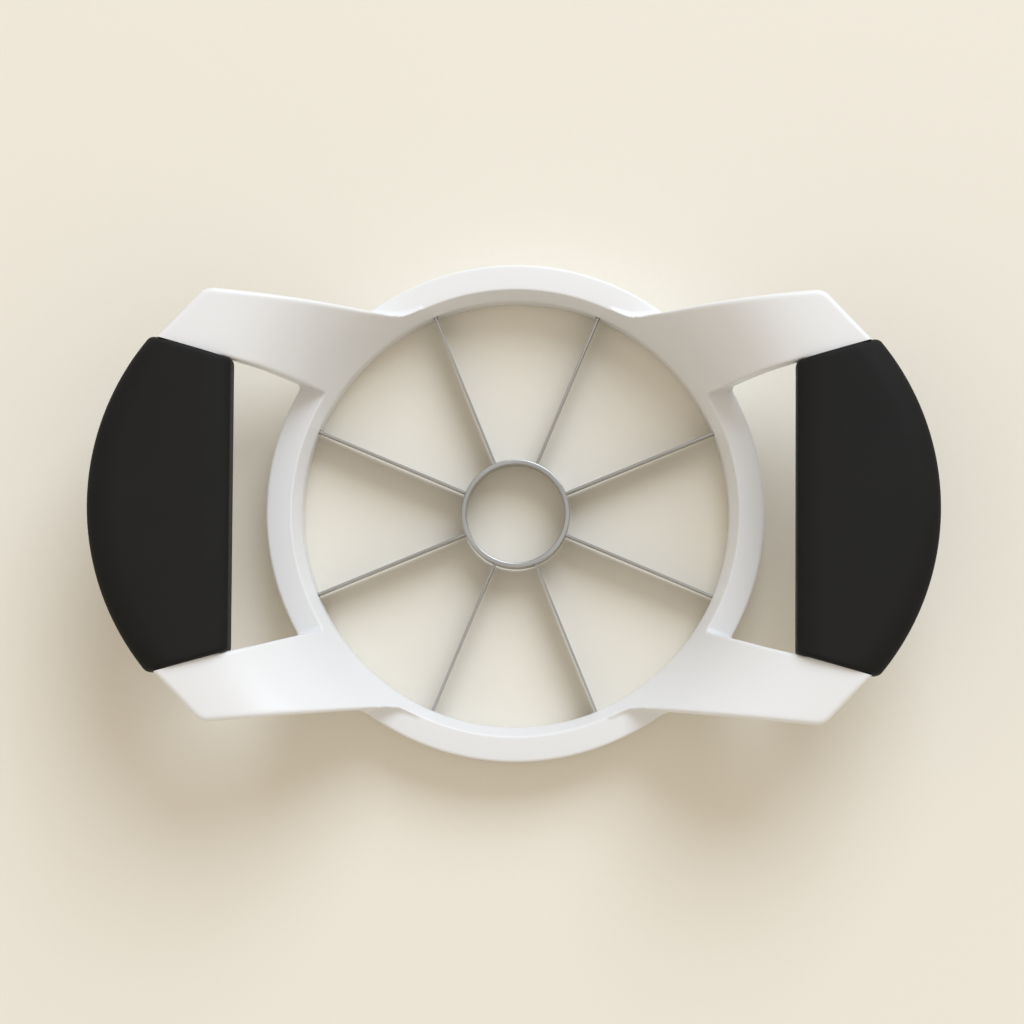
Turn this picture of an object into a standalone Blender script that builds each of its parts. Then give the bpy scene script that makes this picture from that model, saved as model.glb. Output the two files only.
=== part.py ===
# Hand-pressed fruit wedger: a white ring with eight radial blades round a steel
# core cutter, and two raised handles in soft black sleeves.
# Metres, +Z up. The origin is on the table, under the middle of the core cutter.
# The handles lie to +X and -X.

import math

import bmesh
import bpy
from mathutils import Matrix

# Gap between pieces that touch, how far a cutter runs past what it cuts, and how
# close two points of a mesh lie before they count as one
JOINT_GAP = 0.0003
OVERRUN = 0.0010
WELD = 0.000002
CUT_WELD = 0.00002

# Ring: an upright wall round the opening, then a band that opens outwards
OPENING_RADIUS = 0.0491
RING_WIDTH = 0.0079
WALL_TOP = 0.0088
BAND_WIDTH = 0.0021
RING_FALL = 0.0010
RING_FALL_POWER = 1.5
RING_ROUND = 0.0012
RING_ROUND_END = math.radians(12.0)
RING_STEPS = 96
RING_FACE_STEPS = 4
RING_ROUND_STEPS = 4

# Arms: the band sweeps on outwards and upwards like the mouth of a horn
ARM_TOP = 0.0380
ARM_THICKNESS = 0.0063
LEVEL_RADIUS = 0.0850
FLARE_POWER = 2.8
FLARE_STEPS = 12
CORNER_OUT = 0.0686
CORNER_ACROSS = 0.0481
CORNER_ROUND = 0.0040
CORNER_STEPS = 5
TIP_OUT = 0.0797
TIP_ACROSS = 0.0374
CROTCH_ANGLE = math.radians(32.0)
NECK_ANGLE = math.radians(60.4)
NECK_ROUND = 0.0140
NECK_STEPS = 6

# Grips: straight inside edge, a crowned top, and one arc outside that stands a
# little past the arms' tips and bulges on outwards between them
GRIP_INSIDE = 0.0632
GRIP_BULGE = 0.0136
GRIP_TIP_PROUD = 0.0019
GRIP_THICKNESS = 0.0130
GRIP_PROUD = 0.0014
GRIP_CROWN = 0.0006
GRIP_INSIDE_ROUND = 0.0026
GRIP_OUTSIDE_ROUND = 0.0046
GRIP_END_ROUND = 0.0008
GRIP_WALL = 0.0020
GRIP_STATIONS = 13
GRIP_CORNER_STEPS = 4

# Handle bars: the moulding's own core inside each grip
BAR_DROP = 0.0010
BAR_RISE = 0.0006
BAR_ROOT = 0.0050
BAR_ARC_STEPS = 12

# Retaining ring under the frame, with pegs that locate it
RETAINER_HEIGHT = 0.0040
RETAINER_CHAMFER = 0.0006
PEG_RADIUS = 0.0012
PEG_HEIGHT = 0.0030
PEG_SIDES = 16

# Blades: upright strips, ground along the lower edge
BLADE_COUNT = 8
BLADE_THICKNESS = 0.0005
BLADE_BOTTOM = 0.0005
BLADE_TOP = 0.0083
GRIND_HEIGHT = 0.0014
GRIND_SHARE = 0.2
TONGUE_REACH = 0.0030
TAB_WIDTH = 0.0048
TAB_STEP = 0.0003
CORE_TONGUE_HEIGHT = 0.0030

# Core cutter: a short steel tube, ground inside its lower edge
CORE_RADIUS = 0.0125
CORE_WALL = 0.0011
CORE_BOTTOM = 0.0003
CORE_TOP = 0.0090
CORE_GRIND_HEIGHT = 0.0016
CORE_EDGE = 0.0002
CORE_STEPS = 64
CORE_RIM_STEPS = 6

# Values that follow from the sizes above
ring_outer_radius = OPENING_RADIUS + RING_WIDTH
crease_radius = OPENING_RADIUS + BAND_WIDTH
frame_bottom = RETAINER_HEIGHT + JOINT_GAP
arm_bottom = ARM_TOP - ARM_THICKNESS
grip_top = ARM_TOP + GRIP_PROUD
grip_arc_radius = (GRIP_BULGE ** 2 + TIP_ACROSS ** 2) / (2.0 * GRIP_BULGE)
grip_arc_centre = TIP_OUT + GRIP_TIP_PROUD + GRIP_BULGE - grip_arc_radius
blade_angles = [2.0 * math.pi * (index + 0.5) / BLADE_COUNT for index in range(BLADE_COUNT)]
peg_angles = [2.0 * math.pi * index / BLADE_COUNT for index in range(BLADE_COUNT)]
peg_circle_radius = OPENING_RADIUS + RING_WIDTH / 2.0
quadrants = [(1, 1), (-1, 1), (-1, -1), (1, -1)]


def empty_the_scene():
    for item in list(bpy.data.objects):
        bpy.data.objects.remove(item, do_unlink=True)


def new_collection(name):
    collection = bpy.data.collections.new(name)
    bpy.context.scene.collection.children.link(collection)
    return collection


def place(item, collection):
    for owner in list(item.users_collection):
        owner.objects.unlink(item)
    collection.objects.link(item)
    return item


def make_cutter(item):
    place(item, cutters)
    item.hide_render = True
    item.display_type = 'WIRE'
    return item


def finish_part(item, material):
    place(item, parts)
    if item.modifiers:
        item = place(mesh_of(item), parts)
    item.data.materials.clear()
    item.data.materials.append(material)
    item.data.shade_smooth()
    item.data.set_sharp_from_angle(angle=math.radians(35.0))
    return item


def plain_material(name, colour, roughness, metallic):
    material = bpy.data.materials.new(name)
    material.use_nodes = True
    shader = material.node_tree.nodes["Principled BSDF"]
    shader.inputs["Base Color"].default_value = (*colour, 1.0)
    shader.inputs["Roughness"].default_value = roughness
    shader.inputs["Metallic"].default_value = metallic
    return material


def add_boolean(item, other, operation):
    modifier = item.modifiers.new(operation.lower(), 'BOOLEAN')
    modifier.operation = operation
    modifier.solver = 'EXACT'
    modifier.object = other
    return modifier


def add_weld(item):
    """Joins the doubled points that a cut leaves where two surfaces cross."""
    modifier = item.modifiers.new("weld", 'WELD')
    modifier.merge_threshold = CUT_WELD
    return modifier


def mesh_of(item):
    """Replaces an object by the plain mesh that its curve and modifiers make."""
    bpy.context.view_layer.update()
    evaluated = item.evaluated_get(bpy.context.evaluated_depsgraph_get())
    mesh = bpy.data.meshes.new_from_object(evaluated)
    shape = bmesh.new()
    shape.from_mesh(mesh)
    bmesh.ops.remove_doubles(shape, verts=shape.verts, dist=WELD)
    bmesh.ops.recalc_face_normals(shape, faces=shape.faces)
    shape.to_mesh(mesh)
    shape.free()
    name = item.name
    solid = bpy.data.objects.new(name + "_mesh", mesh)
    solid.matrix_world = item.matrix_world.copy()
    bpy.context.scene.collection.objects.link(solid)
    bpy.data.objects.remove(item, do_unlink=True)
    solid.name = name
    return solid


def lathe(name, profile, steps):
    """Turns a closed profile of (radius, height) points about Z."""
    mesh = bpy.data.meshes.new(name)
    points = [(radius, 0.0, height) for radius, height in profile]
    edges = [(index, (index + 1) % len(points)) for index in range(len(points))]
    mesh.from_pydata(points, edges, [])
    item = bpy.data.objects.new(name, mesh)
    bpy.context.scene.collection.objects.link(item)
    screw = item.modifiers.new("turn", 'SCREW')
    screw.axis = 'Z'
    screw.angle = 2.0 * math.pi
    screw.steps = steps
    screw.render_steps = steps
    screw.merge_threshold = WELD
    return item


def plate(name, outlines, low, high):
    """Extrudes flat closed outlines between two heights, one body for each outline."""
    curve = bpy.data.curves.new(name, 'CURVE')
    curve.dimensions = '2D'
    curve.fill_mode = 'BOTH'
    curve.extrude = (high - low) / 2.0
    for outline in outlines:
        spline = curve.splines.new('POLY')
        spline.points.add(len(outline) - 1)
        for point, (x, y) in zip(spline.points, outline):
            point.co = (x, y, 0.0, 1.0)
        spline.use_cyclic_u = True
    item = bpy.data.objects.new(name, curve)
    item.location.z = (high + low) / 2.0
    bpy.context.scene.collection.objects.link(item)
    return mesh_of(item)


def box_outline(x_low, x_high, half_width, angle):
    """A rectangle along the X axis, turned about the origin."""
    corners = [(x_low, -half_width), (x_high, -half_width), (x_high, half_width), (x_low, half_width)]
    return [turned(point, angle) for point in corners]


def turned(point, angle):
    x, y = point
    return (x * math.cos(angle) - y * math.sin(angle), x * math.sin(angle) + y * math.cos(angle))


def polar(radius, angle):
    return (radius * math.cos(angle), radius * math.sin(angle))


def arc(centre, radius, start, end, steps):
    """Points along an arc, both ends included."""
    points = []
    for index in range(steps + 1):
        angle = start + (end - start) * index / steps
        points.append((centre[0] + radius * math.cos(angle), centre[1] + radius * math.sin(angle)))
    return points


def rounded_corner(before, corner, after, radius, steps):
    """The arc that replaces one corner of an outline."""
    back = math.atan2(before[1] - corner[1], before[0] - corner[0])
    ahead = math.atan2(after[1] - corner[1], after[0] - corner[0])
    half = (ahead - back) / 2.0
    half = math.atan2(math.sin(half), math.cos(half))
    reach = radius / abs(math.sin(half))
    middle = back + half
    centre = (corner[0] + reach * math.cos(middle), corner[1] + reach * math.sin(middle))
    setback = reach * abs(math.cos(half))
    first = (corner[0] + setback * math.cos(back), corner[1] + setback * math.sin(back))
    last = (corner[0] + setback * math.cos(ahead), corner[1] + setback * math.sin(ahead))
    start = math.atan2(first[1] - centre[1], first[0] - centre[0])
    end = math.atan2(last[1] - centre[1], last[0] - centre[0])
    sweep = math.atan2(math.sin(end - start), math.cos(end - start))
    return arc(centre, radius, start, start + sweep, steps)


def flare_height(radius):
    """Height of the band and of the arms' top, at a distance from the middle."""
    share = (radius - OPENING_RADIUS) / (LEVEL_RADIUS - OPENING_RADIUS)
    share = min(max(share, 0.0), 1.0)
    return WALL_TOP + (ARM_TOP - WALL_TOP) * (1.0 - (1.0 - share) ** FLARE_POWER)


def flare_slope(radius):
    share = (radius - OPENING_RADIUS) / (LEVEL_RADIUS - OPENING_RADIUS)
    share = min(max(share, 0.0), 1.0)
    steepest = FLARE_POWER * (ARM_TOP - WALL_TOP) / (LEVEL_RADIUS - OPENING_RADIUS)
    return steepest * (1.0 - share) ** (FLARE_POWER - 1.0)


def arm_line():
    """The arm's inside edge: where it starts on the crease, and the far tip."""
    return polar(crease_radius, CROTCH_ANGLE), (TIP_OUT, TIP_ACROSS)


def arm_line_direction():
    crotch, tip = arm_line()
    return math.atan2(tip[1] - crotch[1], tip[0] - crotch[0])


def neck_blend():
    """The arc that leads the arm's outside edge into the crease without a corner."""
    neck = polar(crease_radius, NECK_ANGLE)
    slope = math.atan2(CORNER_ACROSS - neck[1], CORNER_OUT - neck[0])
    along = (math.cos(slope), math.sin(slope))
    outward = (-along[1], along[0])
    line_distance = neck[0] * outward[0] + neck[1] * outward[1]
    across = line_distance + NECK_ROUND
    reach = crease_radius + NECK_ROUND
    forward = math.sqrt(reach ** 2 - across ** 2)
    centre = (
        forward * along[0] + across * outward[0],
        forward * along[1] + across * outward[1],
    )
    start = slope - math.pi / 2.0
    end = math.atan2(-centre[1], -centre[0])
    sweep = math.atan2(math.sin(end - start), math.cos(end - start))
    return arc(centre, NECK_ROUND, start, start + sweep, NECK_STEPS)


def arm_outline(x_side, y_side):
    """One arm seen from above, closed inside the ring's opening."""
    crotch, tip = arm_line()
    corner = (CORNER_OUT, CORNER_ACROSS)
    blend = neck_blend()
    inside_radius = OPENING_RADIUS - OVERRUN
    inside_reach = RING_WIDTH
    direction = arm_line_direction()
    points = [polar(inside_radius, math.atan2(blend[-1][1], blend[-1][0]))]
    points += reversed(blend)
    points += rounded_corner(blend[0], corner, tip, CORNER_ROUND, CORNER_STEPS)
    points.append(tip)
    points.append((
        crotch[0] - inside_reach * math.cos(direction),
        crotch[1] - inside_reach * math.sin(direction),
    ))
    return [(x_side * x, y_side * y) for x, y in points]


def bar_outline(side, clearance):
    """One handle bar seen from above, run into the arms at both ends."""
    inside = GRIP_INSIDE + GRIP_WALL + JOINT_GAP - clearance
    radius = grip_arc_radius - GRIP_WALL - JOINT_GAP + clearance
    half_length = TIP_ACROSS + BAR_ROOT
    sweep = math.asin(half_length / radius)
    points = [(inside, half_length)]
    points += arc((grip_arc_centre, 0.0), radius, sweep, -sweep, BAR_ARC_STEPS)
    points.append((inside, -half_length))
    return [(side * x, y) for x, y in points]


def bowl_profile():
    """Section of the ring with the full flare, before the arms are cut out of it."""
    rim_radius = max(LEVEL_RADIUS, math.hypot(TIP_OUT, TIP_ACROSS)) + OVERRUN
    radii = [OPENING_RADIUS + (LEVEL_RADIUS - OPENING_RADIUS) * index / FLARE_STEPS
             for index in range(FLARE_STEPS + 1)]
    top = [(radius, flare_height(radius)) for radius in radii]
    underside = []
    for radius, height in top:
        lean = math.atan(flare_slope(radius))
        point = (radius + ARM_THICKNESS * math.sin(lean), height - ARM_THICKNESS * math.cos(lean))
        if point[0] > ring_outer_radius + JOINT_GAP:
            underside.append(point)
    profile = [(OPENING_RADIUS, frame_bottom)]
    profile += top
    profile += [(rim_radius, ARM_TOP), (rim_radius, arm_bottom)]
    profile += reversed(underside)
    start_height = min(underside[0][1], flare_height(crease_radius) - RING_FALL)
    profile += [(ring_outer_radius, start_height), (ring_outer_radius, frame_bottom)]
    return profile


def ring_mask_profile():
    """Section of what is kept of the bowl between the arms: the ring and its top face."""
    crease_height = flare_height(crease_radius)
    face_width = ring_outer_radius - crease_radius
    profile = [(OPENING_RADIUS - OVERRUN, frame_bottom - OVERRUN), (OPENING_RADIUS - OVERRUN, crease_height)]
    for index in range(RING_FACE_STEPS + 1):
        share = index / RING_FACE_STEPS
        radius = crease_radius + (face_width - RING_ROUND) * share
        profile.append((radius, crease_height - RING_FALL * share ** RING_FALL_POWER))
    centre = (profile[-1][0], profile[-1][1] - RING_ROUND)
    round_points = arc(centre, RING_ROUND, math.pi / 2.0, RING_ROUND_END, RING_ROUND_STEPS)
    profile += round_points[1:]
    last = profile[-1]
    profile.append((last[0] + OVERRUN, last[1] - OVERRUN / math.tan(RING_ROUND_END)))
    profile.append((last[0] + OVERRUN, frame_bottom - OVERRUN))
    return profile


def make_frame(material):
    """Ring, four arms and two handle bars in one white moulding."""
    keep = make_cutter(lathe("ring_mask", ring_mask_profile(), RING_STEPS))
    arms = make_cutter(plate(
        "arm_mask",
        [arm_outline(x_side, y_side) for x_side, y_side in quadrants],
        frame_bottom - OVERRUN - JOINT_GAP,
        ARM_TOP + OVERRUN,
    ))
    add_boolean(keep, arms, 'UNION')
    bars = make_cutter(plate(
        "bar_shapes",
        [bar_outline(side, 0.0) for side in (1, -1)],
        arm_bottom + BAR_RISE,
        ARM_TOP - BAR_DROP,
    ))
    pockets = make_cutter(plate(
        "blade_pockets",
        [pocket_outline(angle) for angle in blade_angles],
        frame_bottom - OVERRUN,
        BLADE_TOP + JOINT_GAP,
    ))
    holes = make_cutter(peg_set("peg_holes", JOINT_GAP))
    frame = lathe("frame", bowl_profile(), RING_STEPS)
    add_boolean(frame, keep, 'INTERSECT')
    add_weld(frame)
    add_boolean(frame, bars, 'UNION')
    add_boolean(frame, pockets, 'DIFFERENCE')
    add_boolean(frame, holes, 'DIFFERENCE')
    add_weld(frame)
    return finish_part(frame, material)


def pocket_outline(angle):
    """Slot for a blade's tongue, with a cross slot behind it for the bent tab."""
    half_slot = BLADE_THICKNESS / 2.0 + JOINT_GAP
    half_tab = TAB_WIDTH / 2.0 + JOINT_GAP
    end = OPENING_RADIUS + TONGUE_REACH + JOINT_GAP
    tab_start = end - BLADE_THICKNESS - 2.0 * JOINT_GAP
    start = OPENING_RADIUS - OVERRUN
    half = [(start, half_slot), (tab_start, half_slot), (tab_start, half_tab), (end, half_tab)]
    points = [(x, -y) for x, y in half] + list(reversed(half))
    return [turned(point, angle) for point in points]


def peg_set(name, clearance):
    """The retaining ring's pegs, or with a clearance the holes they stand in."""
    shape = bmesh.new()
    low = RETAINER_HEIGHT - OVERRUN
    high = RETAINER_HEIGHT + PEG_HEIGHT + clearance
    for angle in peg_angles:
        x, y = polar(peg_circle_radius, angle)
        bmesh.ops.create_cone(
            shape,
            cap_ends=True,
            segments=PEG_SIDES,
            radius1=PEG_RADIUS + clearance,
            radius2=PEG_RADIUS + clearance,
            depth=high - low,
            matrix=Matrix.Translation((x, y, (low + high) / 2.0)),
        )
    mesh = bpy.data.meshes.new(name)
    shape.to_mesh(mesh)
    shape.free()
    item = bpy.data.objects.new(name, mesh)
    bpy.context.scene.collection.objects.link(item)
    return item


def make_retaining_ring(material):
    """Flat ring that closes the blade pockets from below."""
    inside = OPENING_RADIUS
    outside = ring_outer_radius
    profile = [
        (inside, RETAINER_CHAMFER),
        (inside, RETAINER_HEIGHT),
        (outside, RETAINER_HEIGHT),
        (outside, RETAINER_CHAMFER),
        (outside - RETAINER_CHAMFER, 0.0),
        (inside + RETAINER_CHAMFER, 0.0),
    ]
    ring = lathe("retaining_ring", profile, RING_STEPS)
    add_boolean(ring, make_cutter(peg_set("pegs", 0.0)), 'UNION')
    return finish_part(ring, material)


def blade_mesh():
    """One blade along +X, seen from the side, with a bent tab at its outer end."""
    inner = CORE_RADIUS + JOINT_GAP
    outer = OPENING_RADIUS - JOINT_GAP
    inner_tip = CORE_RADIUS - CORE_WALL + JOINT_GAP
    outer_tip = OPENING_RADIUS + TONGUE_REACH
    tongue_end = outer_tip - BLADE_THICKNESS / 2.0
    tongue_low = frame_bottom
    middle = (BLADE_TOP + BLADE_BOTTOM) / 2.0
    core_high = middle + CORE_TONGUE_HEIGHT / 2.0
    core_low = middle - CORE_TONGUE_HEIGHT / 2.0
    outline = [
        (inner, BLADE_BOTTOM),
        (outer, BLADE_BOTTOM),
        (outer, tongue_low),
        (tongue_end, tongue_low),
        (tongue_end, BLADE_TOP),
        (inner, BLADE_TOP),
        (inner, core_high),
        (inner_tip, core_high),
        (inner_tip, core_low),
        (inner, core_low),
    ]
    strip = plate("blade_strip", [outline], -BLADE_THICKNESS / 2.0, BLADE_THICKNESS / 2.0)
    strip.data.transform(strip.matrix_world)
    strip.matrix_world = Matrix.Identity(4)
    strip.data.transform(Matrix.Rotation(math.pi / 2.0, 4, 'X'))
    grind(strip.data)
    half_tab = TAB_WIDTH / 2.0
    tab_shape = [
        (outer_tip - BLADE_THICKNESS, -half_tab),
        (outer_tip, -half_tab),
        (outer_tip, half_tab),
        (outer_tip - BLADE_THICKNESS, half_tab),
    ]
    tab = plate("blade_tab", [tab_shape], tongue_low + TAB_STEP, BLADE_TOP - TAB_STEP)
    add_boolean(strip, tab, 'UNION')
    blade = mesh_of(strip)
    bpy.data.objects.remove(tab, do_unlink=True)
    mesh = blade.data
    bpy.data.objects.remove(blade, do_unlink=True)
    mesh.name = "blade"
    return mesh


def grind(mesh):
    """Thins the strip towards its lower edge."""
    shape = bmesh.new()
    shape.from_mesh(mesh)
    grind_line = BLADE_BOTTOM + GRIND_HEIGHT
    everything = list(shape.verts) + list(shape.edges) + list(shape.faces)
    bmesh.ops.bisect_plane(shape, geom=everything, plane_co=(0.0, 0.0, grind_line), plane_no=(0.0, 0.0, 1.0))
    for vertex in shape.verts:
        if vertex.co.z < grind_line - WELD:
            vertex.co.y *= GRIND_SHARE
    shape.to_mesh(mesh)
    shape.free()


def make_blades(material):
    mesh = blade_mesh()
    for index, angle in enumerate(blade_angles):
        blade = bpy.data.objects.new("blade_" + str(index + 1), mesh)
        blade.rotation_euler.z = angle
        finish_part(blade, material)


def make_core_ring(material):
    """Steel tube with eight windows that take the blades' inner tongues."""
    inside = CORE_RADIUS - CORE_WALL
    profile = [(inside, CORE_BOTTOM + CORE_GRIND_HEIGHT)]
    rim_centre = (CORE_RADIUS - CORE_WALL / 2.0, CORE_TOP - CORE_WALL / 2.0)
    profile += arc(rim_centre, CORE_WALL / 2.0, math.pi, 0.0, CORE_RIM_STEPS)
    profile += [(CORE_RADIUS, CORE_BOTTOM), (CORE_RADIUS - CORE_EDGE, CORE_BOTTOM)]
    core = lathe("core_ring", profile, CORE_STEPS)
    middle = (BLADE_TOP + BLADE_BOTTOM) / 2.0
    half_height = CORE_TONGUE_HEIGHT / 2.0 + JOINT_GAP
    half_width = BLADE_THICKNESS / 2.0 + JOINT_GAP
    windows = make_cutter(plate(
        "core_windows",
        [box_outline(inside - OVERRUN, CORE_RADIUS + OVERRUN, half_width, angle) for angle in blade_angles],
        middle - half_height,
        middle + half_height,
    ))
    add_boolean(core, windows, 'DIFFERENCE')
    return finish_part(core, material)


def grip_section(width, inset):
    """Rounded section across a grip: distance from its inside face, and height."""
    low = grip_top - GRIP_THICKNESS + inset
    high = grip_top - inset
    left = inset
    right = width - inset
    inside_round = GRIP_INSIDE_ROUND
    outside_round = GRIP_OUTSIDE_ROUND
    steps = GRIP_CORNER_STEPS
    half_turn = math.pi
    quarter = math.pi / 2.0
    left_low = (left + inside_round, low + inside_round)
    left_high = (left + inside_round, high - inside_round)
    right_low = (right - outside_round, low + outside_round)
    right_high = (right - outside_round, high - outside_round)
    points = arc(left_low, inside_round, half_turn, half_turn + quarter, steps)
    points += arc(right_low, outside_round, -quarter, 0.0, steps)
    points += arc(right_high, outside_round, 0.0, quarter, steps)
    points.append(((left_high[0] + right_high[0]) / 2.0, high))
    points += arc(left_high, inside_round, quarter, half_turn, steps)
    crowned = []
    for across, height in points:
        share = (across - left) / (right - left)
        lift = (height - low) / (high - low)
        crowned.append((across, height - GRIP_CROWN * lift * (2.0 * share - 1.0) ** 2))
    return crowned


def grip_mesh():
    """The +X grip as a loft of rounded sections that fan out towards its ends."""
    crotch, tip = arm_line()
    direction = arm_line_direction()
    back_off = JOINT_GAP / math.cos(direction)
    inner_end = crotch[1] + (GRIP_INSIDE - crotch[0]) * math.tan(direction) - back_off
    outer_end = grip_arc_crossing(crotch, direction, back_off)
    sweep = math.atan2(outer_end[1], outer_end[0] - grip_arc_centre)
    end_share = GRIP_END_ROUND / inner_end
    even = [2.0 * index / (GRIP_STATIONS - 1) - 1.0 for index in range(GRIP_STATIONS)]
    shares = [-1.0] + [(1.0 - end_share) * share for share in even] + [1.0]
    shape = bmesh.new()
    rings = []
    for share in shares:
        start = (GRIP_INSIDE, inner_end * share)
        outer = polar(grip_arc_radius, sweep * share)
        stop = (grip_arc_centre + outer[0], outer[1])
        width = math.hypot(stop[0] - start[0], stop[1] - start[1])
        along = ((stop[0] - start[0]) / width, (stop[1] - start[1]) / width)
        inset = GRIP_END_ROUND if abs(share) == 1.0 else 0.0
        ring = []
        for across, height in grip_section(width, inset):
            ring.append(shape.verts.new((start[0] + along[0] * across, start[1] + along[1] * across, height)))
        rings.append(ring)
    for first, second in zip(rings, rings[1:]):
        for index in range(len(first)):
            following = (index + 1) % len(first)
            shape.faces.new((first[index], first[following], second[following], second[index]))
    shape.faces.new(rings[0])
    shape.faces.new(rings[-1])
    bmesh.ops.recalc_face_normals(shape, faces=shape.faces)
    mesh = bpy.data.meshes.new("grip")
    shape.to_mesh(mesh)
    shape.free()
    return mesh


def grip_arc_crossing(crotch, direction, back_off):
    """Where the line along the arm's inside edge meets the grip's outer arc."""
    x = crotch[0] - grip_arc_centre
    y = crotch[1] - back_off
    run = (math.cos(direction), math.sin(direction))
    along = x * run[0] + y * run[1]
    short = x * x + y * y - grip_arc_radius ** 2
    reach = -along + math.sqrt(along * along - short)
    return (crotch[0] + reach * run[0], y + reach * run[1])


def make_grips(material):
    """Two soft sleeves, one over each handle bar."""
    mesh = grip_mesh()
    for name, side in (("right_grip", 1), ("left_grip", -1)):
        grip = bpy.data.objects.new(name, mesh.copy())
        if side < 0:
            grip.rotation_euler.z = math.pi
        bore = make_cutter(plate(
            name + "_bore",
            [bar_outline(side, JOINT_GAP)],
            arm_bottom + BAR_RISE - JOINT_GAP,
            ARM_TOP - BAR_DROP + JOINT_GAP,
        ))
        add_boolean(grip, bore, 'DIFFERENCE')
        finish_part(grip, material)


empty_the_scene()
parts = new_collection("fruit_wedger")
cutters = new_collection("cutters")
white_plastic = plain_material("white_plastic", (0.84, 0.84, 0.83), 0.34, 0.0)
steel = plain_material("steel", (0.55, 0.55, 0.54), 0.32, 1.0)
soft_black = plain_material("soft_black", (0.018, 0.018, 0.017), 0.62, 0.0)
make_frame(white_plastic)
make_retaining_ring(plain_material("white_plastic_below", (0.84, 0.84, 0.83), 0.34, 0.0))
make_blades(steel)
make_core_ring(plain_material("core_steel", (0.55, 0.55, 0.54), 0.30, 1.0))
make_grips(soft_black)
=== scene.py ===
import math

import bmesh
import bpy
import numpy as np
from mathutils import Matrix, Vector


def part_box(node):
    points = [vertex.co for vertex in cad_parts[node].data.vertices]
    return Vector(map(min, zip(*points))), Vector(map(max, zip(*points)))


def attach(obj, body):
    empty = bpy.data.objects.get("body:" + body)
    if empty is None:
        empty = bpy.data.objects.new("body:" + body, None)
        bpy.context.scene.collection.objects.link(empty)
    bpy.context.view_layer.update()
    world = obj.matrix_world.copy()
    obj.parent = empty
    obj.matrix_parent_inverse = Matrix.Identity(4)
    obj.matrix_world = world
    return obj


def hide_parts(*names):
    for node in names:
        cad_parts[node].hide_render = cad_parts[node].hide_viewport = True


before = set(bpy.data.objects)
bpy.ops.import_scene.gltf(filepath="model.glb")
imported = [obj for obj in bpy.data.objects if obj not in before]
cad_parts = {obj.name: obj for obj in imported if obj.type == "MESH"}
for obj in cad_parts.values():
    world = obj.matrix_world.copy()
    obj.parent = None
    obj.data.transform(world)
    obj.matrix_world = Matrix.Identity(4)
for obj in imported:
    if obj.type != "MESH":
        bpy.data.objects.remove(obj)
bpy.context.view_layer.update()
print("frame loaded")

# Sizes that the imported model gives
coreLow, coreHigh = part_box("core_ring")
bladeLow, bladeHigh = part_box("blade_1")
gripLow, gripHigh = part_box("right_grip")
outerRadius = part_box("retaining_ring")[1].x
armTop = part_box("frame")[1].z
nodeGap = 0.0003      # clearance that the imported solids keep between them
seatGap = 0.00006     # the same gap as it is drawn here
weldDistance = 0.000002
overrun = 0.0010      # how far a cutter runs past what it cuts
bladeCount = 8
bladeAngles = [2.0 * math.pi * (index + 0.5) / bladeCount for index in range(bladeCount)]


# Mesh tools

def appliedMesh(item):
    # the plain mesh that an object's curve and modifiers make
    bpy.context.view_layer.update()
    evaluated = item.evaluated_get(bpy.context.evaluated_depsgraph_get())
    mesh = bpy.data.meshes.new_from_object(evaluated)
    shape = bmesh.new()
    shape.from_mesh(mesh)
    bmesh.ops.remove_doubles(shape, verts=shape.verts, dist=weldDistance)
    bmesh.ops.recalc_face_normals(shape, faces=shape.faces)
    shape.to_mesh(mesh)
    shape.free()
    name = item.name
    solid = bpy.data.objects.new(name + "Applied", mesh)
    solid.matrix_world = item.matrix_world.copy()
    bpy.context.scene.collection.objects.link(solid)
    bpy.data.objects.remove(item, do_unlink=True)
    solid.name = name
    return solid


def objectFromShape(name, shape):
    mesh = bpy.data.meshes.new(name)
    bmesh.ops.recalc_face_normals(shape, faces=shape.faces)
    shape.to_mesh(mesh)
    shape.free()
    item = bpy.data.objects.new(name, mesh)
    bpy.context.scene.collection.objects.link(item)
    return item


def turnedSolid(name, profile, steps):
    # a closed profile of (radius, height) points turned about Z
    shape = bmesh.new()
    points = [shape.verts.new((radius, 0.0, height)) for radius, height in profile]
    for index, point in enumerate(points):
        shape.edges.new((point, points[(index + 1) % len(points)]))
    mesh = bpy.data.meshes.new(name)
    shape.to_mesh(mesh)
    shape.free()
    item = bpy.data.objects.new(name, mesh)
    bpy.context.scene.collection.objects.link(item)
    screw = item.modifiers.new("turn", 'SCREW')
    screw.axis = 'Z'
    screw.angle = 2.0 * math.pi
    screw.steps = steps
    screw.render_steps = steps
    screw.use_merge_vertices = True
    screw.merge_threshold = weldDistance
    return appliedMesh(item)


def raisedOutlines(name, outlines, low, high):
    # flat closed outlines extruded between two heights
    curve = bpy.data.curves.new(name, 'CURVE')
    curve.dimensions = '2D'
    curve.fill_mode = 'BOTH'
    curve.extrude = (high - low) / 2.0
    for outline in outlines:
        spline = curve.splines.new('POLY')
        spline.points.add(len(outline) - 1)
        for point, (x, y) in zip(spline.points, outline):
            point.co = (x, y, 0.0, 1.0)
        spline.use_cyclic_u = True
    item = bpy.data.objects.new(name, curve)
    item.location.z = (high + low) / 2.0
    bpy.context.scene.collection.objects.link(item)
    return appliedMesh(item)


def combine(item, other, operation):
    modifier = item.modifiers.new(operation.lower(), 'BOOLEAN')
    modifier.operation = operation
    modifier.solver = 'EXACT'
    modifier.object = other
    result = appliedMesh(item)
    bpy.data.objects.remove(other, do_unlink=True)
    return result


def smoothShade(item, sharpDegrees):
    item.data.shade_smooth()
    item.data.set_sharp_from_angle(angle=math.radians(sharpDegrees))


def polar(radius, angle):
    return (radius * math.cos(angle), radius * math.sin(angle))


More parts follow.
